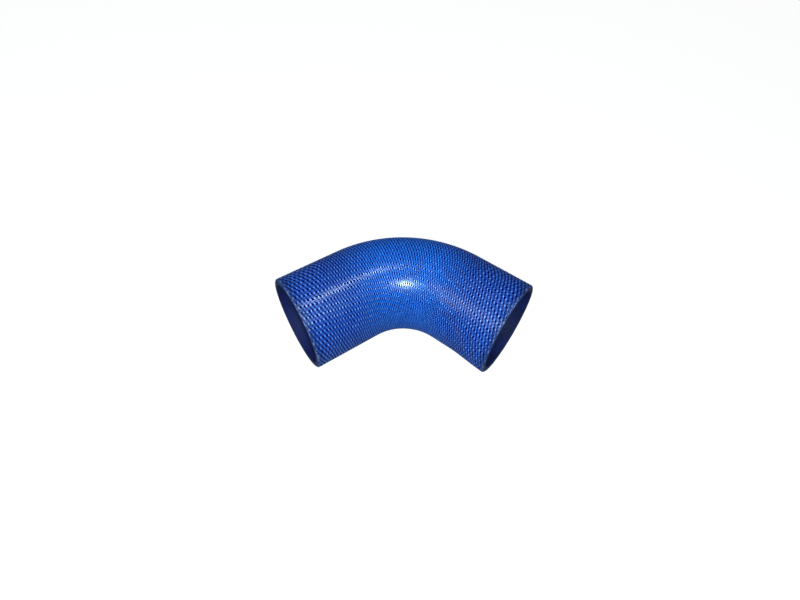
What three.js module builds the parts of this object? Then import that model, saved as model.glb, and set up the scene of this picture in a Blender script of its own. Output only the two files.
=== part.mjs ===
// Radiator hose: one moulded silicone elbow with a bend between two straight legs.
// The knitted fabric inside its wall shows through the skin as rows of fine ridges.
// Millimetres, +Z up. The elbow lies on its side, with the outside of its bend towards +Y.

import * as THREE from 'three';
import { mergeVertices } from 'three/addons/utils/BufferGeometryUtils.js';

// Bore, wall and shape of the elbow
const BORE_DIAMETER = 65;
const WALL_THICKNESS = 5;
const BEND_ANGLE = 70;
const INSIDE_BEND_RADIUS = 33;
const LEFT_LEG_LENGTH = 52.5;
const RIGHT_LEG_LENGTH = 48.5;

// Rows of the knit: their spacing round the hose, their height, and how far they lean
// away from the hose's length at each cut end
const ROW_PITCH = 4.2;
const ROW_HEIGHT = 0.5;
const LEFT_ROW_LEAN = 10;
const RIGHT_ROW_LEAN = 17;

// Fineness of the faceted surface
const BORE_SIDES = 48;
const STEP_LENGTH = 6.7;

const SILICONE_BLUE = 0x2450c0;

// Sizes that follow from the ones above
const boreRadius = BORE_DIAMETER / 2;
const outerRadius = boreRadius + WALL_THICKNESS;
const halfBend = THREE.MathUtils.degToRad(BEND_ANGLE) / 2;
const bendRadius = INSIDE_BEND_RADIUS + outerRadius;
const bendLength = 2 * halfBend * bendRadius;
const hoseLength = LEFT_LEG_LENGTH + bendLength + RIGHT_LEG_LENGTH;

// Points evenly spaced round a circle, whose radius may differ from point to point
function circlePoints(count, radiusOf) {
  const points = [];
  for (let i = 0; i < count; i += 1) {
    const angle = (2 * Math.PI * i) / count;
    const radius = radiusOf(i);
    points.push(new THREE.Vector2(radius * Math.cos(angle), radius * Math.sin(angle)));
  }
  return points;
}

// Section across the wall: a ridge for each row of the knit outside, a smooth bore inside
function wallSection() {
  const rows = Math.round((2 * Math.PI * outerRadius) / ROW_PITCH);
  const ridgeOrGroove = (i) => (i % 2 === 0 ? outerRadius : outerRadius - ROW_HEIGHT);
  const section = new THREE.Shape(circlePoints(2 * rows, ridgeOrGroove));
  section.holes.push(new THREE.Path(circlePoints(BORE_SIDES, () => boreRadius)));
  return section;
}

// Angle by which the rows have wound round the hose at a distance from its left end
function rowTwist(distance) {
  const leftSlope = Math.tan(THREE.MathUtils.degToRad(LEFT_ROW_LEAN));
  const rightSlope = Math.tan(THREE.MathUtils.degToRad(RIGHT_ROW_LEAN));
  const meanSlope = leftSlope + ((rightSlope - leftSlope) * distance) / (2 * hoseLength);
  return (meanSlope * distance) / outerRadius;
}

// Middle of the bore at a distance from the left end, with the direction of the hose there
// and the direction towards the outside of the bend. The middle of the bend is at the origin.
function centrelineAt(distance) {
  const turn = (distance - LEFT_LEG_LENGTH) / bendRadius - halfBend;
  const turnInBend = THREE.MathUtils.clamp(turn, -halfBend, halfBend);
  const straightPart = (turn - turnInBend) * bendRadius;
  const along = new THREE.Vector3(Math.cos(turnInBend), -Math.sin(turnInBend), 0);
  const outward = new THREE.Vector3(Math.sin(turnInBend), Math.cos(turnInBend), 0);
  const middle = new THREE.Vector3(0, -bendRadius, 0);
  middle.addScaledVector(outward, bendRadius);
  middle.addScaledVector(along, straightPart);
  return { middle, outward };
}

// Moves a point of the straight hose, which runs along Z, to its place in the elbow
function bendPoint(point) {
  const { middle, outward } = centrelineAt(point.z);
  const section = new THREE.Vector2(point.x, point.y);
  section.rotateAround(new THREE.Vector2(0, 0), rowTwist(point.z));
  point.copy(middle);
  point.addScaledVector(outward, section.x);
  point.z = section.y;
}

// The hose is extruded straight, then twisted along its rows and bent into the elbow
function hoseGeometry() {
  const straight = new THREE.ExtrudeGeometry(wallSection(), {
    depth: hoseLength,
    steps: Math.ceil(hoseLength / STEP_LENGTH),
    bevelEnabled: false,
  });
  straight.deleteAttribute('normal');
  straight.deleteAttribute('uv');
  const geometry = mergeVertices(straight);
  const positions = geometry.getAttribute('position');
  const point = new THREE.Vector3();
  for (let i = 0; i < positions.count; i += 1) {
    point.fromBufferAttribute(positions, i);
    bendPoint(point);
    positions.setXYZ(i, point.x, point.y, point.z);
  }
  geometry.computeVertexNormals();
  return geometry;
}

function makeHose() {
  const silicone = new THREE.MeshStandardMaterial({
    color: SILICONE_BLUE,
    roughness: 0.35,
    metalness: 0,
  });
  const hose = new THREE.Mesh(hoseGeometry(), silicone);
  hose.name = 'hose';
  return hose;
}

// Rests the hose on Z = 0, with the origin under the middle of its bounding box
function restOnOrigin(hose) {
  const box = new THREE.Box3().setFromObject(hose);
  const middle = box.getCenter(new THREE.Vector3());
  hose.position.set(-middle.x, -middle.y, -box.min.z);
}

const radiatorHose = new THREE.Group();
radiatorHose.name = 'radiator_hose';
const hose = makeHose();
restOnOrigin(hose);
radiatorHose.add(hose);

export default radiatorHose;
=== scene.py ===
from collections import namedtuple
import math

import bpy
import numpy as np
from mathutils import Matrix, Vector


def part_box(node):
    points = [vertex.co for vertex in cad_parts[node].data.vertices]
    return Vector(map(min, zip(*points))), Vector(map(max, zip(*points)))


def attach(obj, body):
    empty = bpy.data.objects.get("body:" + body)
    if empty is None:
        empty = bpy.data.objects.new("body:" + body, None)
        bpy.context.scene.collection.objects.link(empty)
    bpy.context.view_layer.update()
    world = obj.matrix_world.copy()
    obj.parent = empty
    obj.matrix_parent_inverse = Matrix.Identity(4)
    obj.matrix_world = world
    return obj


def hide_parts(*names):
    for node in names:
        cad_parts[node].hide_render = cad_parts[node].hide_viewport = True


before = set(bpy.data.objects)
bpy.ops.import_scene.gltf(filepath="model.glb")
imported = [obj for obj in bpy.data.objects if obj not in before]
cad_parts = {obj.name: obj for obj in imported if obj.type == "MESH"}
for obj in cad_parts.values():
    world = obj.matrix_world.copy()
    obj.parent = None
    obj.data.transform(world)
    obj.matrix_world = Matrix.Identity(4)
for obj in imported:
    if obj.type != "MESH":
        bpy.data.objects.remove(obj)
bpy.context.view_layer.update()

# Dresses the radiator hose: a moulded silicone elbow whose knitted fabric shows through its skin.
# Lengths are in metres. The hose is one closed mesh, laid out on the rows and courses of the knit.

# Shape of the elbow. The soft wall has spread a little at its right cut, on the side inside the bend.
WALL_THICKNESS = 0.005
BEND_ANGLE = math.radians(70)
INSIDE_BEND_RADIUS = 0.033
LEFT_LEG_LENGTH = 0.0525
RIGHT_LEG_LENGTH = 0.0485
CUT_EDGE_RADIUS = 0.0013
BORE_EDGE_BEVEL = 0.0003
RIGHT_END_SPREAD = 0.0025
SPREAD_LENGTH = 0.032

# Knit: rows run along the hose, and courses run round it. Rows lean more towards the right end.
ROW_PITCH = 0.0042
LEFT_ROW_LEAN = math.radians(10)
RIGHT_ROW_LEAN = math.radians(17)
COURSE_PITCH_AT_ENDS = 0.003
COURSE_PITCH_IN_BEND = 0.00215

# The hose is longer outside the bend than inside it. So courses are drawn from the legs into the bend
# on the outside, and pushed from it into the legs on the inside, by this many courses. That fades
# to nothing at the cuts, with this power of the share of the leg.
COURSES_PUSHED_TO_LEGS = 4.5
PUSH_FADE = 1.5

# Relief of the knit. The margin keeps the highest stitches inside the solid's round.
SLOT_DEPTH = 0.00026
STITCH_HEIGHT = 0.00012
SKIN_MARGIN = 0.00024

# Where the skin is smoother, and the share of the relief that is lost there: in a band inside the bend,
# which starts at this share of the leg, and at the cuts
RELIEF_LOST_INSIDE_BEND = 0.12
SMOOTH_HALF_WIDTH = math.radians(32)
SMOOTH_BAND_STARTS = 0.3
RELIEF_LOST_AT_CUT = 0.35
CUT_FADE_LENGTH = 0.0022

# How far the knit wanders from its places: rows in metres, courses in courses, and stitches as a
# part of a turn of the waves below, in radians. Courses don't wander at the cuts, and they wander in
# full from this share of the leg on.
ROW_WANDER = 0.0004
COURSE_WANDER = 0.26
COURSE_WANDER_IN_FULL = 0.25
STITCH_JITTER = 0.5

# The rows and courses wander by sums of slow waves: turns round the hose, from the first number up to
# one under the second, and radians per metre along it
WANDER_WAVES = 6
WANDER_TURNS_ROUND = (1, 5)
WANDER_RATE_ALONG = (20, 260)
SEED = 11

# The waves that cross on the skin and make the knit: how many turns each makes per row round the hose
# while it makes one per course along it, and its share of the height
KNIT_WAVES = ((-0.5, 1.0), (0.5, 0.5), (1.5, 0.42), (-1.5, 0.26))

# Fineness of the mesh, and of the working out of where its points lie. A cut face has rings at these
# shares of the way from the skin's edge to the bore's.
POINTS_PER_ROW = 4
POINTS_PER_COURSE = 5
BORE_STEPS = 22
CUT_FACE_SHARES = (0.0, 0.06, 0.5, 0.94, 1.0)
COURSE_TABLE_STEPS = 4000
PLACE_ROUNDS = 12

# The photograph's camera: from where it looks at a point this far behind the middle of the bend, and
# where its optical axis meets the picture
PICTURE_WIDTH = 800
PICTURE_HEIGHT = 600
SENSOR_WIDTH = 36.0
FOCAL_PIXELS = 498.9
AXIS_PIXEL = (407.66, 240.0)
CAMERA_DISTANCE = 0.4418
CAMERA_ELEVATION = math.radians(47.94)
CAMERA_AZIMUTH = math.radians(-0.68)
CAMERA_ROLL = math.radians(2.51)
LOOK_PAST_BEND = 0.0472
NEAREST_SEEN = 0.01


# Elbow

hose_low, hose_high = (Vector(corner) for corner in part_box("hose"))
OUTER_RADIUS = (hose_high.z - hose_low.z) / 2
BORE_RADIUS = OUTER_RADIUS - WALL_THICKNESS
HALF_BEND = BEND_ANGLE / 2
BEND_RADIUS = INSIDE_BEND_RADIUS + OUTER_RADIUS
BEND_LENGTH = BEND_ANGLE * BEND_RADIUS
HOSE_LENGTH = LEFT_LEG_LENGTH + BEND_LENGTH + RIGHT_LEG_LENGTH


def bend_middle():
    """Middle of the bore at the middle of the bend, worked out from the low corner of the hose's box."""
    sine, cosine = math.sin(HALF_BEND), math.cos(HALF_BEND)
    reach_left = (BEND_RADIUS + OUTER_RADIUS) * sine + LEFT_LEG_LENGTH * cosine
    reach_down = BEND_RADIUS * (1 - cosine) + LEFT_LEG_LENGTH * sine + OUTER_RADIUS * cosine
    return Vector((hose_low.x + reach_left, hose_low.y + reach_down, hose_low.z + OUTER_RADIUS))


BEND_MIDDLE = bend_middle()


def smooth(share):
    """Goes from 0 to 1 as the share does, with a soft start and a soft end."""
    share = np.clip(share, 0.0, 1.0)
    return share * share * (3 - 2 * share)


def end_spread(distance, angle):
    """How far the soft wall has spread near the right cut, on the side inside the bend."""
    near_end = smooth(1 - (HOSE_LENGTH - distance) / SPREAD_LENGTH)
    return RIGHT_END_SPREAD * near_end * np.clip(-np.cos(angle), 0, 1) ** 2


def normal_at(distance, angle):
    """Directions straight out of the smooth hose."""
    turn = np.clip((distance - LEFT_LEG_LENGTH) / BEND_RADIUS - HALF_BEND, -HALF_BEND, HALF_BEND)
    outwards = np.cos(angle)
    return np.stack([outwards * np.sin(turn), outwards * np.cos(turn), np.sin(angle)], axis=-1)


def place(distance, radius, angle):
    """Points at distances along the hose, and at radii and angles round it.

    Angle 0 is outside the bend, and 90 degrees is on top.
    """
    radius = radius + end_spread(distance, angle)
    turn = (distance - LEFT_LEG_LENGTH) / BEND_RADIUS - HALF_BEND
    turn_in_bend = np.clip(turn, -HALF_BEND, HALF_BEND)
    straight = (turn - turn_in_bend) * BEND_RADIUS
    across = BEND_RADIUS + radius * np.cos(angle)
    x = BEND_MIDDLE.x + across * np.sin(turn_in_bend) + straight * np.cos(turn_in_bend)
    y = BEND_MIDDLE.y - BEND_RADIUS + across * np.cos(turn_in_bend) - straight * np.sin(turn_in_bend)
    z = BEND_MIDDLE.z + radius * np.sin(angle)
    return np.stack([x, y, z], axis=-1)


# Knit

def share_of_leg(distance):
    """0 at each cut end, 1 where the bend starts and all through the bend."""
    from_left = distance / LEFT_LEG_LENGTH
    from_right = (HOSE_LENGTH - distance) / RIGHT_LEG_LENGTH
    return np.clip(np.minimum(from_left, from_right), 0.0, 1.0)


def row_angle(distance):
    """How far the rows have wound round the hose at a distance from its left end."""
    left, right = math.tan(LEFT_ROW_LEAN), math.tan(RIGHT_ROW_LEAN)
    return (left + (right - left) * distance / (2 * HOSE_LENGTH)) * distance / OUTER_RADIUS


def course_table():
    """Distances along the hose, and the courses counted from the left end up to each."""
    distance = np.linspace(0, HOSE_LENGTH, COURSE_TABLE_STEPS + 1)
    into_bend = smooth(share_of_leg(distance)) ** 2
    pitch = COURSE_PITCH_AT_ENDS + (COURSE_PITCH_IN_BEND - COURSE_PITCH_AT_ENDS) * into_bend
    count = np.concatenate([[0], np.cumsum(np.diff(distance) * 2 / (pitch[1:] + pitch[:-1]))])
    return distance, count * round(count[-1]) / count[-1]


def courses_pushed(distance):
    """Courses by which the knit is drawn in towards the middle of the bend, on the outside.

    It is pushed away by as many on the inside. The number is below zero left of the middle.
    """
    from_middle = distance - LEFT_LEG_LENGTH - BEND_LENGTH / 2
    in_bend = np.clip(from_middle / (BEND_LENGTH / 2), -1, 1)
    return COURSES_PUSHED_TO_LEGS * in_bend * share_of_leg(distance) ** PUSH_FADE


def slow_waves(chance):
    """A smooth irregular function of a place on the skin, mostly between -1 and 1."""
    waves = []
    for _ in range(WANDER_WAVES):
        turns = chance.integers(*WANDER_TURNS_ROUND)
        rate = chance.uniform(*WANDER_RATE_ALONG)
        start = chance.uniform(0, math.tau)
        waves.append((turns, rate, start))

    def height(distance, angle):
        total = sum(np.sin(turns * angle + rate * distance + start) for turns, rate, start in waves)
        return total / math.sqrt(WANDER_WAVES)

    return height


# The number of rows is even, so that waves with half a turn per row close round the hose
ROWS = 2 * round(math.pi * OUTER_RADIUS / ROW_PITCH)
TABLE_DISTANCE, TABLE_COURSES = course_table()
COURSES = int(round(TABLE_COURSES[-1]))
seeded_chance = np.random.default_rng(SEED)
row_waves = slow_waves(seeded_chance)
course_waves = slow_waves(seeded_chance)


def skin_places(row, course):
    """Distance and angle of places given in rows round the hose and courses along it.

    How far a course is off its distance depends on where it lies, so a few rounds settle it.
    """
    distance = np.interp(course, TABLE_COURSES, TABLE_DISTANCE)
    for _ in range(PLACE_ROUNDS):
        angle = math.tau * row / ROWS + row_angle(distance)
        wander_share = smooth(share_of_leg(distance) / COURSE_WANDER_IN_FULL)
        wander = COURSE_WANDER * course_waves(distance, angle) * wander_share
        offset = courses_pushed(distance) * np.cos(angle) + wander
        distance = np.interp(course - offset, TABLE_COURSES, TABLE_DISTANCE)
    distance = np.where(course <= 0, 0.0, distance)
    distance = np.where(course >= COURSES, HOSE_LENGTH, distance)
    angle = math.tau * row / ROWS + row_angle(distance)
    return distance, angle + ROW_WANDER / OUTER_RADIUS * row_waves(distance, angle)


def relief_strength(distance, angle):
    """1 where the knit shows fully, less inside the bend and at the cuts, where the skin is smoother."""
    from_inside = np.arccos(np.clip(-np.cos(angle), -1, 1))
    along_bend = smooth((share_of_leg(distance) - SMOOTH_BAND_STARTS) / (1 - SMOOTH_BAND_STARTS))
    inside = smooth(1 - from_inside / SMOOTH_HALF_WIDTH) * along_bend
    from_end = np.minimum(distance, HOSE_LENGTH - distance)
    at_cut = smooth(1 - from_end / CUT_FADE_LENGTH)
    return (1 - RELIEF_LOST_INSIDE_BEND * inside) * (1 - RELIEF_LOST_AT_CUT * at_cut)


def knit_height(row, course):
    """From under 0 in a slot to 1 on the top of a stitch. Slots and stitches take turns along each row."""
    total = sum(share * np.cos(math.tau * (course + turns * row)) for turns, share in KNIT_WAVES)
    return total / sum(share for _, share in KNIT_WAVES)


def skin_radius(row, course, distance, strength):
    """Outside radius of the skin, with its slots and stitches and its rounded cut edges."""
    knit = knit_height(row, course)
    relief = strength * (STITCH_HEIGHT * np.clip(knit, 0, 1) - SLOT_DEPTH * np.clip(-knit, 0, 1))
    from_end = np.minimum(distance, HOSE_LENGTH - distance)
    inset = np.clip(CUT_EDGE_RADIUS - from_end, 0, CUT_EDGE_RADIUS)
    rounding = CUT_EDGE_RADIUS - np.sqrt(CUT_EDGE_RADIUS ** 2 - inset ** 2)
    return OUTER_RADIUS - SKIN_MARGIN + relief - rounding


# Mesh: rings of points that run along the skin, over the right cut face, back through the bore
# and over the left cut face. Each section has its own material and its own UV layout.

Section = namedtuple("Section", "material distance angle radius uv strength")

# Places of the three materials on the hose's mesh
KNIT = 0
CUT_FACE = 1
BORE = 2
UV_NAME = "knit"


def skin_section():
    """Rings along the skin, from the left cut to the right one. Its UV counts rows and courses."""
    row = np.arange(ROWS * POINTS_PER_ROW + 1) / POINTS_PER_ROW
    course = np.arange(COURSES * POINTS_PER_COURSE + 1) / POINTS_PER_COURSE
    course, row = np.meshgrid(course, row, indexing="ij")
    distance, angle = skin_places(row, course)
    strength = relief_strength(distance, angle)
    radius = skin_radius(row, course, distance, strength)
    return Section(KNIT, distance, angle, radius, np.stack([row, course], axis=-1), strength)


def cut_face_rings(skin_edge):
    """Radii of the rings from the skin's edge over a cut face to the bore, and how deep each lies in it."""
    bevel_radius = BORE_RADIUS + BORE_EDGE_BEVEL
    radii = [skin_edge + (bevel_radius - skin_edge) * share for share in CUT_FACE_SHARES]
    radii.append(np.full(skin_edge.shape, BORE_RADIUS))
    radius = np.stack(radii)
    depth = np.zeros(radius.shape)
    depth[-1] = BORE_EDGE_BEVEL
    return radius, depth


def cut_face_section(angle, radius, distance):
    """A cut face and the bevel at its bore. Its UV is the length round the hose and the radius.

    Its relief strength is the skin's at the cut, because the two share a ring.
    """
    angle = np.broadcast_to(angle, radius.shape)
    uv = np.stack([angle * OUTER_RADIUS, radius], axis=-1)
    strength = np.full(radius.shape, 1 - RELIEF_LOST_AT_CUT)
    return Section(CUT_FACE, distance, angle, radius, uv, strength)


def bore_section(right_angle, left_angle):
    """Rings along the bore, from the right end to the left one. Its UV is in metres round and along it."""
    share = np.linspace(0, 1, BORE_STEPS + 1)[:, None]
    angle = right_angle * (1 - share) + left_angle * share
    distance = (HOSE_LENGTH - BORE_EDGE_BEVEL) * (1 - share) + BORE_EDGE_BEVEL * share
    distance = np.broadcast_to(distance, angle.shape)
    uv = np.stack([angle * BORE_RADIUS, distance], axis=-1)
    radius = np.full(angle.shape, BORE_RADIUS)
    return Section(BORE, distance, angle, radius, uv, np.ones(angle.shape))


def hose_sections():
    """The four sections. Each starts on the last ring of the one before, and the last ends on the first."""
    skin = skin_section()
    left_angle, right_angle = skin.angle[0], skin.angle[-1]
    left_radius, left_depth = cut_face_rings(skin.radius[0])
    right_radius, right_depth = cut_face_rings(skin.radius[-1])
    return [
        skin,
        cut_face_section(right_angle, right_radius, HOSE_LENGTH - right_depth),
        bore_section(right_angle, left_angle),
        cut_face_section(left_angle, left_radius[::-1], left_depth[::-1]),
    ]


def section_arrays(section, first_ring, total_rings):
    """A section's points, normals and relief strengths, without its last ring, and all its quads.

    The last column of a section stands on its first one, so it gives no points either.
    """
    rings, columns = section.radius.shape[0] - 1, section.radius.shape[1] - 1
    points = place(section.distance, section.radius, section.angle)
    normals = normal_at(section.distance, section.angle)
    ring = (first_ring + np.arange(rings))[:, None]
    column = np.arange(columns)
    next_column = (column + 1) % columns
    below = ring * columns
    above = (ring + 1) % total_rings * columns
    quads = np.stack([below + column, below + next_column, above + next_column, above + column], axis=-1)
    uv = section.uv
    quad_uvs = np.stack([uv[:-1, :-1], uv[:-1, 1:], uv[1:, 1:], uv[1:, :-1]], axis=-2)
    return (
        points[:-1, :-1].reshape(-1, 3),
        normals[:-1, :-1].reshape(-1, 3),
        section.strength[:-1, :-1].reshape(-1),
        quads.reshape(-1, 4),
        quad_uvs.reshape(-1, 4, 2),
        np.full(rings * columns, section.material, dtype=np.int32),
    )


def hose_arrays():
    """The arrays of all sections, joined."""
    sections = hose_sections()
    ring_counts = [len(section.radius) - 1 for section in sections]
    first_rings = np.cumsum([0] + ring_counts[:-1])
    total_rings = sum(ring_counts)
    parts = [section_arrays(section, first, total_rings) for section, first in zip(sections, first_rings)]
    return [np.concatenate(arrays) for arrays in zip(*parts)]


def hose_object(materials):
    """The hose. Its points carry the strength of the relief and the direction out of the smooth hose."""
    points, normals, strengths, quads, quad_uvs, material_places = hose_arrays()
    mesh = bpy.data.meshes.new("silicone_hose")
    mesh.from_pydata(points.tolist(), [], quads.tolist())
    mesh.uv_layers.new(name=UV_NAME)
    mesh.uv_layers[UV_NAME].data.foreach_set("uv", quad_uvs.reshape(-1))
    strength = mesh.attributes.new("relief_strength", "FLOAT", "POINT")
    strength.data.foreach_set("value", strengths)
    normal = mesh.attributes.new("skin_normal", "FLOAT_VECTOR", "POINT")
    normal.data.foreach_set("vector", normals.reshape(-1))
    for material in materials:
        mesh.materials.append(material)
    mesh.polygons.foreach_set("material_index", material_places)
    mesh.polygons.foreach_set("use_smooth", np.ones(len(quads), dtype=bool))
    mesh.update()
    hose = bpy.data.objects.new("silicone_hose", mesh)
    bpy.context.scene.collection.objects.link(hose)
    return hose


# Materials

class Shader:
    """A material's node tree, with short calls for the nodes that the materials need."""

    def __init__(self, name):
        self.material = bpy.data.materials.new(name)
        self.material.use_nodes = True
        self.tree = self.material.node_tree
        self.tree.nodes.clear()

    def node(self, kind, inputs=(), **settings):
        """A new node with its settings and its inputs, which are values or other nodes' outputs."""
        made = self.tree.nodes.new(kind)
        for name, value in settings.items():
            setattr(made, name, value)
        for name, value in dict(inputs).items():
            self.feed(made.inputs[name], value)
        return made

    def feed(self, socket, value):
        """Links an output to a socket, or sets the socket to a plain value."""
        if isinstance(value, bpy.types.NodeSocket):
            self.tree.links.new(value, socket)
        else:
            socket.default_value = value

    def math(self, operation, *values):
        """A sum, product or the like of one or two values."""
        return self.node("ShaderNodeMath", dict(enumerate(values)), operation=operation).outputs[0]

    def product(self, first, *others):
        """All the values multiplied."""
        for value in others:
            first = self.math("MULTIPLY", first, value)
        return first

    def ramp(self, value, low, high, to_low=0.0, to_high=1.0):
        """Goes softly from to_low to to_high as the value goes from low to high, and stays there."""
        inputs = {"Value": value, "From Min": low, "From Max": high, "To Min": to_low, "To Max": to_high}
        return self.node("ShaderNodeMapRange", inputs, interpolation_type="SMOOTHSTEP").outputs["Result"]

    def mix(self, share, first, second):
        """The first colour where the share is 0, the second where it is 1."""
        made = self.node("ShaderNodeMix", data_type="RGBA")
        self.feed(made.inputs["Factor"], share)
        self.feed(colour_socket(made.inputs, "A"), first)
        self.feed(colour_socket(made.inputs, "B"), second)
        return colour_socket(made.outputs, "Result")

    def place_on_object(self):
        """Coordinates fixed to the object, in metres."""
        return self.node("ShaderNodeTexCoord").outputs["Object"]

    def uv(self):
        """The two UV coordinates, each by itself."""
        layer = self.node("ShaderNodeUVMap", uv_map=UV_NAME).outputs["UV"]
        parts = self.node("ShaderNodeSeparateXYZ", {"Vector": layer})
        return parts.outputs["X"], parts.outputs["Y"]

    def noise(self, where, scale, detail, roughness=0.55):
        """Uneven values about 0.5, whose patches are about one over the scale across."""
        inputs = {"Vector": where, "Scale": scale, "Detail": detail, "Roughness": roughness}
        return self.node("ShaderNodeTexNoise", inputs).outputs["Fac"]

    def bump(self, height, distance, strength=1.0, **normal):
        """Normals as on a surface raised by the height times the distance."""
        inputs = {"Strength": strength, "Distance": distance, "Height": height, **normal}
        return self.node("ShaderNodeBump", inputs).outputs["Normal"]

    def finish(self, **inputs):
        """The finished material. The inputs are those of the surface shader, with _ for each space."""
        named = {name.replace("_", " "): value for name, value in inputs.items()}
        surface = self.node("ShaderNodeBsdfPrincipled", named)
        self.node("ShaderNodeOutputMaterial", {"Surface": surface.outputs[0]})
        return self.material


def colour_socket(sockets, name):
    """The socket for colours, of several with the same name."""
    return next(socket for socket in sockets if socket.name == name and socket.type == "RGBA")


def light_of(value):
    """One channel of a colour on screen, 0 to 1, as light. The numbers are those of the screen standard."""
    if value <= 0.04045:
        return value / 12.92
    return ((value + 0.055) / 1.055) ** 2.4


def colour(red, green, blue):
    """A colour as seen on screen, 0 to 255, as Blender's linear numbers."""
    return (*(light_of(channel / 255) for channel in (red, green, blue)), 1.0)


# Colours of the hose. The bend is a brighter blue than the legs.
LEG_BLUE = colour(28, 60, 152)
BEND_BLUE = colour(20, 98, 212)
# Painted highlight: the raised knit between the slots is mixed towards this lighter blue.
RIDGE_HIGHLIGHT_BLUE = colour(24, 108, 216)
# Painted shade: the slots' dark navy stands for the shade in their hollows.
LEG_SLOT_SHADE = colour(0, 4, 84)
BEND_SLOT_SHADE = colour(0, 20, 130)
# Painted highlight: the stitches' pale blue stands for the glints on their tops.
LEG_STITCH_HIGHLIGHT = colour(94, 136, 230)
BEND_STITCH_HIGHLIGHT = colour(70, 156, 255)
# Painted shade: a darker blue near both cuts, where the light falls off towards the ends.
END_SHADE_BLUE = colour(14, 34, 84)
RIM_GREY = colour(122, 136, 190)
CUT_NAVY = colour(22, 26, 64)
CUT_PALE = colour(108, 112, 142)
# Painted shade: the bore's navy colours are its blue silicone darkened for the shade inside the tube.
BORE_SHADE_NAVY = colour(8, 18, 64)
BORE_BLUE = colour(14, 26, 82)
SHINE_TINT = colour(200, 240, 255)
WHITE = colour(255, 255, 255)

# The heights of the knit where slots, stitches and ridges start, and where they are full
SLOT_HEIGHTS = (0.0, -0.36)
STITCH_HEIGHTS = (0.24, 0.66)
RIDGE_HEIGHTS = (-0.55, 0.35)
RIDGE_HIGHLIGHT_SHARE = 0.22

# Unevenness: noise from the first value to the second takes a value from the third to the fourth,
# or from 0 to 1
JITTER_SPAN = (0.3, 0.7)
UNEVEN_SLOTS = (0.34, 0.52, 0.6, 1.0)
UNEVEN_STITCHES = (0.66, 0.4, 0.35, 1.0)
UNEVEN_BEND = (0.3, 0.7, 0.7, 1.0)
UNEVEN_END = (0.3, 0.7, 0.3, 0.8)
UNEVEN_RIM = (0.48, 0.66, 0.05, 0.8)
UNEVEN_CUT_EDGE = (0.35, 0.6)
UNEVEN_CUT = (0.3, 0.7)
UNEVEN_BORE = (0.35, 0.65)
SKIN_ROUGHNESS = (0.3, 0.75, 0.34, 0.5)
CUT_ROUGHNESS = (0.2, 0.8, 0.5, 0.75)
BORE_ROUGHNESS = (0.3, 0.7, 0.62, 0.8)

# Where the bend's colours start and are full, as shares of all courses from either end, and where
# the painted shade at the ends and the grey rims start to fade and are gone, in courses from either cut
BEND_COLOUR_REACH = (0.15, 0.4)
END_SHADE_REACH = (0.4, 2.4)
RIM_REACH = (0.1, 0.6)

# Patches of noise per metre
BROAD_NOISE = 14.0
JITTER_NOISE = 210.0
PATCH_NOISE = 430.0
FINE_NOISE = 900.0
CUT_NOISE = 1400.0
BORE_CLOUD_NOISE = 60.0
BORE_GRAIN_NOISE = 800.0

# Gloss: shares of the full gloss between stitches for the silicone and for the clear skin over it,
# the roughness of that skin, and the weak shine of the bore
SHINE_BETWEEN_STITCHES = 0.2
COAT_BETWEEN_STITCHES = 0.45
COAT_ROUGHNESS = 0.27
SILICONE_IOR = 1.6
BORE_SHINE = 0.2

# Bumps: heights in metres, then shares of the slots and the grain in the knit's bump and of the rings
# in the bore's
KNIT_BUMP = 0.0003
COAT_BUMP = 0.000006
CUT_BUMP = 0.00012
BORE_BUMP = 0.0001
SLOT_BUMP_SHARE = 1.5
GRAIN_BUMP_SHARE = 0.1
RING_BUMP_SHARE = 0.3

# Plies of fabric in the wall, with the heights of the waves across the wall and along each ply where
# thread ends start and are full, and the pale edge, which starts at this share of the wall
PLIES = 3
THREAD_PITCH = 0.0011
PLY_HEIGHTS = (-0.2, -0.9)
THREAD_HEIGHTS = (0.2, 1.3)
THREAD_PALENESS = 0.5
PALE_EDGE = (0.8, 0.93)

# Rings in the bore
BORE_RING_PITCH = 0.0021


def shifted_knit_height(shader, row, course, shift):
    """The same waves as in the mesh, each moved on by a small shift."""
    total = 0.0
    for turns, share in KNIT_WAVES:
        wave_place = shader.math("ADD", course, shader.product(row, turns))
        phase = shader.math("ADD", shader.product(wave_place, math.tau), shift)
        total = shader.math("ADD", total, shader.product(shader.math("COSINE", phase), share))
    return shader.math("DIVIDE", total, sum(share for _, share in KNIT_WAVES))


def knit_shares(shader, where, row, course, patches):
    """Shares of slot, of stitch and of ridge at each place. Each stitch is a little out of its place."""
    jitter = shader.noise(where, JITTER_NOISE, detail=2.0)
    shift = shader.ramp(jitter, *JITTER_SPAN, -STITCH_JITTER, STITCH_JITTER)
    knit = shifted_knit_height(shader, row, course, shift)
    strength = shader.node("ShaderNodeAttribute", attribute_name="relief_strength").outputs["Fac"]
    slots = shader.product(shader.ramp(knit, *SLOT_HEIGHTS), shader.ramp(patches, *UNEVEN_SLOTS), strength)
    uneven = shader.ramp(patches, *UNEVEN_STITCHES)
    stitches = shader.product(shader.ramp(knit, *STITCH_HEIGHTS), uneven, strength)
    ridges = shader.product(shader.ramp(knit, *RIDGE_HEIGHTS), strength)
    return slots, stitches, ridges


def share_in_bend(shader, where, course):
    """0 on the legs and up to 1 in the bend, with broad uneven patches."""
    start, full = BEND_COLOUR_REACH
    from_left = shader.ramp(course, COURSES * start, COURSES * full)
    from_right = shader.ramp(course, COURSES * (1 - start), COURSES * (1 - full))
    broad = shader.noise(where, BROAD_NOISE, detail=2.0)
    return shader.product(from_left, from_right, shader.ramp(broad, *UNEVEN_BEND))


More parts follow.
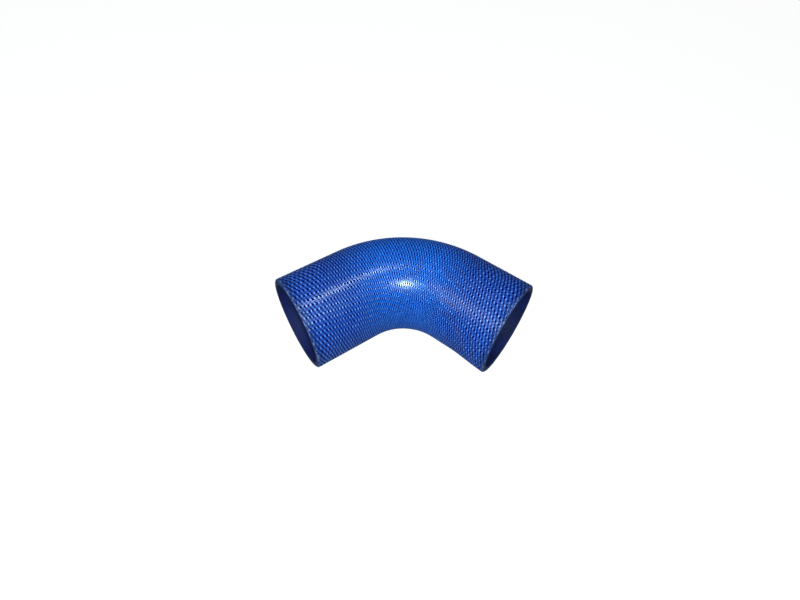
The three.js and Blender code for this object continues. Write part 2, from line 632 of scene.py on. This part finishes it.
def share_near_cuts(shader, course, reach):
    """1 at both cuts, and 0 further in than the reach."""
    full, gone = reach
    near_left = shader.ramp(course, full, gone, 1.0, 0.0)
    near_right = shader.ramp(course, COURSES - gone, COURSES - full)
    return shader.math("MAXIMUM", near_left, near_right)


def gloss(shader, slots, stitches, between):
    """1 on stitches, less on the skin between them and none in slots."""
    on_skin = shader.math("ADD", between, shader.product(stitches, 1 - between))
    return shader.product(on_skin, shader.math("SUBTRACT", 1.0, slots))


def smooth_skin_normal(shader):
    """The direction out of the smooth hose, so that the clear skin hardly follows the knit's relief."""
    skin_normal = shader.node("ShaderNodeAttribute", attribute_name="skin_normal").outputs["Vector"]
    turned = shader.node(
        "ShaderNodeVectorTransform", {"Vector": skin_normal},
        vector_type="NORMAL", convert_from="OBJECT", convert_to="WORLD",
    )
    return turned.outputs["Vector"]


def knit_material():
    """The skin: blue silicone under a clear glossy skin, with painted shade darkening its slots and painted
    highlights paling its stitches and ridges.
    """
    shader = Shader("knitted_silicone")
    where = shader.place_on_object()
    row, course = shader.uv()
    patches = shader.noise(where, PATCH_NOISE, detail=2.0)
    fine = shader.noise(where, FINE_NOISE, detail=4.0, roughness=0.7)
    slots, stitches, ridges = knit_shares(shader, where, row, course, patches)

    in_bend = share_in_bend(shader, where, course)
    base = shader.mix(in_bend, LEG_BLUE, BEND_BLUE)
    # Painted highlight: the raised ridges are mixed a little towards a lighter blue.
    base = shader.mix(shader.product(ridges, RIDGE_HIGHLIGHT_SHARE), base, RIDGE_HIGHLIGHT_BLUE)
    # Painted highlight: the stitches' tops are mixed towards a paler blue.
    base = shader.mix(stitches, base, shader.mix(in_bend, LEG_STITCH_HIGHLIGHT, BEND_STITCH_HIGHLIGHT))
    # Painted shade: the slots' hollows are mixed towards dark navy.
    base = shader.mix(slots, base, shader.mix(in_bend, LEG_SLOT_SHADE, BEND_SLOT_SHADE))
    # Painted shade: the skin is mixed towards a darker blue near both cuts.
    end_shade = share_near_cuts(shader, course, END_SHADE_REACH)
    base = shader.mix(shader.product(end_shade, shader.ramp(fine, *UNEVEN_END)), base, END_SHADE_BLUE)
    rims = share_near_cuts(shader, course, RIM_REACH)
    base = shader.mix(shader.product(rims, shader.ramp(patches, *UNEVEN_RIM)), base, RIM_GREY)

    raised = shader.math("ADD", stitches, ridges)
    height = shader.math("SUBTRACT", raised, shader.product(slots, SLOT_BUMP_SHARE))
    height = shader.math("ADD", height, shader.product(fine, GRAIN_BUMP_SHARE))
    return shader.finish(
        Base_Color=base,
        Roughness=shader.ramp(fine, *SKIN_ROUGHNESS),
        Normal=shader.bump(height, KNIT_BUMP),
        IOR=SILICONE_IOR,
        Specular_IOR_Level=gloss(shader, slots, stitches, SHINE_BETWEEN_STITCHES),
        Specular_Tint=SHINE_TINT,
        Coat_Weight=gloss(shader, slots, stitches, COAT_BETWEEN_STITCHES),
        Coat_Roughness=COAT_ROUGHNESS,
        Coat_IOR=SILICONE_IOR,
        Coat_Normal=shader.bump(height, COAT_BUMP, Normal=smooth_skin_normal(shader)),
    )


def cut_face_material():
    """The cut end: silicone with plies of fabric, whose thread ends show as pale dots."""
    shader = Shader("cut_silicone")
    length_round, radius = shader.uv()
    grain = shader.noise(shader.place_on_object(), CUT_NOISE, detail=3.0)
    share_out = shader.math("DIVIDE", shader.math("SUBTRACT", radius, BORE_RADIUS), WALL_THICKNESS)
    across_plies = shader.math("COSINE", shader.product(share_out, math.tau * PLIES))
    along_ply = shader.math("SINE", shader.product(length_round, math.tau / THREAD_PITCH))
    uneven_along_ply = shader.ramp(shader.math("ADD", along_ply, grain), *THREAD_HEIGHTS)
    threads = shader.product(shader.ramp(across_plies, *PLY_HEIGHTS), uneven_along_ply)
    edge = shader.product(shader.ramp(share_out, *PALE_EDGE), shader.ramp(grain, *UNEVEN_CUT_EDGE))
    pale = shader.math("MAXIMUM", shader.product(threads, THREAD_PALENESS), edge)
    base = shader.mix(shader.ramp(grain, *UNEVEN_CUT), CUT_NAVY, BORE_BLUE)
    return shader.finish(
        Base_Color=shader.mix(pale, base, CUT_PALE),
        Roughness=shader.ramp(grain, *CUT_ROUGHNESS),
        Normal=shader.bump(grain, CUT_BUMP, strength=0.8),
    )


def bore_material():
    """Smooth blue silicone inside, darkened to navy by painted shade, with faint rings from the tool that
    formed it.
    """
    shader = Shader("bore_silicone")
    where = shader.place_on_object()
    _, distance = shader.uv()
    rings = shader.math("SINE", shader.product(distance, math.tau / BORE_RING_PITCH))
    clouds = shader.noise(where, BORE_CLOUD_NOISE, detail=4.0)
    grain = shader.noise(where, BORE_GRAIN_NOISE, detail=3.0)
    height = shader.math("ADD", shader.product(rings, RING_BUMP_SHARE), grain)
    return shader.finish(
        Base_Color=shader.mix(shader.ramp(clouds, *UNEVEN_BORE), BORE_SHADE_NAVY, BORE_BLUE),
        Roughness=shader.ramp(grain, *BORE_ROUGHNESS),
        Normal=shader.bump(height, BORE_BUMP, strength=0.5),
        Specular_IOR_Level=BORE_SHINE,
    )


# Stage: the floor is almost white to the camera, dimmer to the gloss on the hose, and pale in the
# light that it throws back
FLOOR_SIZE = 6.0
FLOOR_SEEN = colour(240, 240, 242)
FLOOR_MIRRORED = colour(104, 116, 150)
FLOOR_THROWN_BACK = colour(150, 156, 170)
FLOOR_GLOW = 1.1
FLOOR_GLOW_SHARE = 0.85

# Light from all round, and the dimmer room that the gloss mirrors
ROOM_TINT = (0.86, 0.92, 1.0, 1.0)
ROOM_STRENGTH = 0.135
MIRRORED_TINT = (0.75, 0.8, 0.9, 1.0)
MIRRORED_STRENGTH = 0.07


def floor_material():
    """A pale floor that the camera sees almost white, with the hose's soft shadow kept."""
    shader = Shader("pale_floor")
    path = shader.node("ShaderNodeLightPath")
    seen = path.outputs["Is Camera Ray"]
    unseen_tone = shader.mix(path.outputs["Is Glossy Ray"], FLOOR_THROWN_BACK, FLOOR_MIRRORED)
    plain = shader.node("ShaderNodeBsdfDiffuse", {"Color": shader.mix(seen, unseen_tone, FLOOR_SEEN)})
    glow = shader.node("ShaderNodeEmission", {"Color": WHITE, "Strength": FLOOR_GLOW})
    glow_share = shader.product(seen, FLOOR_GLOW_SHARE)
    mixed = shader.node("ShaderNodeMixShader", {0: glow_share, 1: plain.outputs[0], 2: glow.outputs[0]})
    shader.node("ShaderNodeOutputMaterial", {"Surface": mixed.outputs[0]})
    return shader.material


def make_floor():
    """A flat square floor under the hose."""
    half = FLOOR_SIZE / 2
    corners = [(-half, -half, 0), (half, -half, 0), (half, half, 0), (-half, half, 0)]
    mesh = bpy.data.meshes.new("floor")
    mesh.from_pydata(corners, [], [(0, 1, 2, 3)])
    mesh.materials.append(floor_material())
    floor = bpy.data.objects.new("floor", mesh)
    bpy.context.scene.collection.objects.link(floor)


def background(nodes, tint, strength):
    """Light of one colour from all round."""
    made = nodes.new("ShaderNodeBackground")
    made.inputs["Color"].default_value = tint
    made.inputs["Strength"].default_value = strength
    return made.outputs[0]


def make_world():
    """Soft light from all round. The camera sees it white, and the gloss on the hose mirrors a dim room."""
    world = bpy.data.worlds.new("studio")
    bpy.context.scene.world = world
    world.use_nodes = True
    nodes, links = world.node_tree.nodes, world.node_tree.links
    nodes.clear()
    path = nodes.new("ShaderNodeLightPath")
    unseen = nodes.new("ShaderNodeMixShader")
    links.new(path.outputs["Is Glossy Ray"], unseen.inputs[0])
    links.new(background(nodes, ROOM_TINT, ROOM_STRENGTH), unseen.inputs[1])
    links.new(background(nodes, MIRRORED_TINT, MIRRORED_STRENGTH), unseen.inputs[2])
    mixed = nodes.new("ShaderNodeMixShader")
    links.new(path.outputs["Is Camera Ray"], mixed.inputs[0])
    links.new(unseen.outputs[0], mixed.inputs[1])
    links.new(background(nodes, WHITE, 1.0), mixed.inputs[2])
    output = nodes.new("ShaderNodeOutputWorld")
    links.new(mixed.outputs[0], output.inputs["Surface"])


def direction(azimuth, elevation):
    """Unit vector towards a place at this azimuth and elevation. Azimuth 0 is in front, towards -Y."""
    return Vector((
        math.sin(azimuth) * math.cos(elevation),
        -math.cos(azimuth) * math.cos(elevation),
        math.sin(elevation),
    ))


def make_lamp(name, azimuth, elevation, distance, size, power, tint):
    """A square lamp that faces the middle of the hose. Its angles are in degrees."""
    light = bpy.data.lights.new(name, "AREA")
    light.shape = "SQUARE"
    light.size = size
    light.energy = power
    light.color = tint
    lamp = bpy.data.objects.new(name, light)
    back = direction(math.radians(azimuth), math.radians(elevation))
    lamp.location = BEND_MIDDLE + back * distance
    lamp.rotation_mode = "QUATERNION"
    lamp.rotation_quaternion = back.to_track_quat("Z", "Y")
    bpy.context.scene.collection.objects.link(lamp)


def make_lamps():
    """A flash for the bright spot on the bend, and two lamps for the sheen on the left and right leg."""
    make_lamp(
        "flash", azimuth=2.9, elevation=49.7, distance=0.411,
        size=0.02, power=1.7, tint=(0.8, 1.0, 0.96),
    )
    make_lamp(
        "ceiling_lamp", azimuth=105, elevation=80, distance=1.2,
        size=0.08, power=3.0, tint=(0.8, 0.95, 1.0),
    )
    make_lamp(
        "softbox", azimuth=-63, elevation=43, distance=1.4,
        size=0.7, power=6.2, tint=(0.86, 0.95, 1.0),
    )


def make_camera():
    """The photograph's camera."""
    camera = bpy.data.objects.new("camera", bpy.data.cameras.new("camera"))
    back = direction(CAMERA_AZIMUTH, CAMERA_ELEVATION)
    level = Vector((math.cos(CAMERA_AZIMUTH), math.sin(CAMERA_AZIMUTH), 0.0))
    up = back.cross(level)
    sine, cosine = math.sin(CAMERA_ROLL), math.cos(CAMERA_ROLL)
    right = level * cosine + up * sine
    top = up * cosine - level * sine
    lens_place = BEND_MIDDLE + Vector((0.0, LOOK_PAST_BEND, 0.0)) + back * CAMERA_DISTANCE
    camera.matrix_world = Matrix.Translation(lens_place) @ Matrix((right, top, back)).transposed().to_4x4()
    camera.data.sensor_width = SENSOR_WIDTH
    camera.data.lens = SENSOR_WIDTH * FOCAL_PIXELS / PICTURE_WIDTH
    camera.data.shift_x = (PICTURE_WIDTH / 2 - AXIS_PIXEL[0]) / PICTURE_WIDTH
    camera.data.shift_y = (AXIS_PIXEL[1] - PICTURE_HEIGHT / 2) / PICTURE_WIDTH
    camera.data.clip_start = NEAREST_SEEN
    bpy.context.scene.collection.objects.link(camera)
    bpy.context.scene.camera = camera


def main():
    """Builds the hose and the stage round it."""
    hose = hose_object([knit_material(), cut_face_material(), bore_material()])
    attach(hose, "root")
    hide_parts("hose")
    make_floor()
    make_world()
    make_lamps()
    make_camera()
    bpy.context.scene.view_settings.view_transform = "Standard"


main()
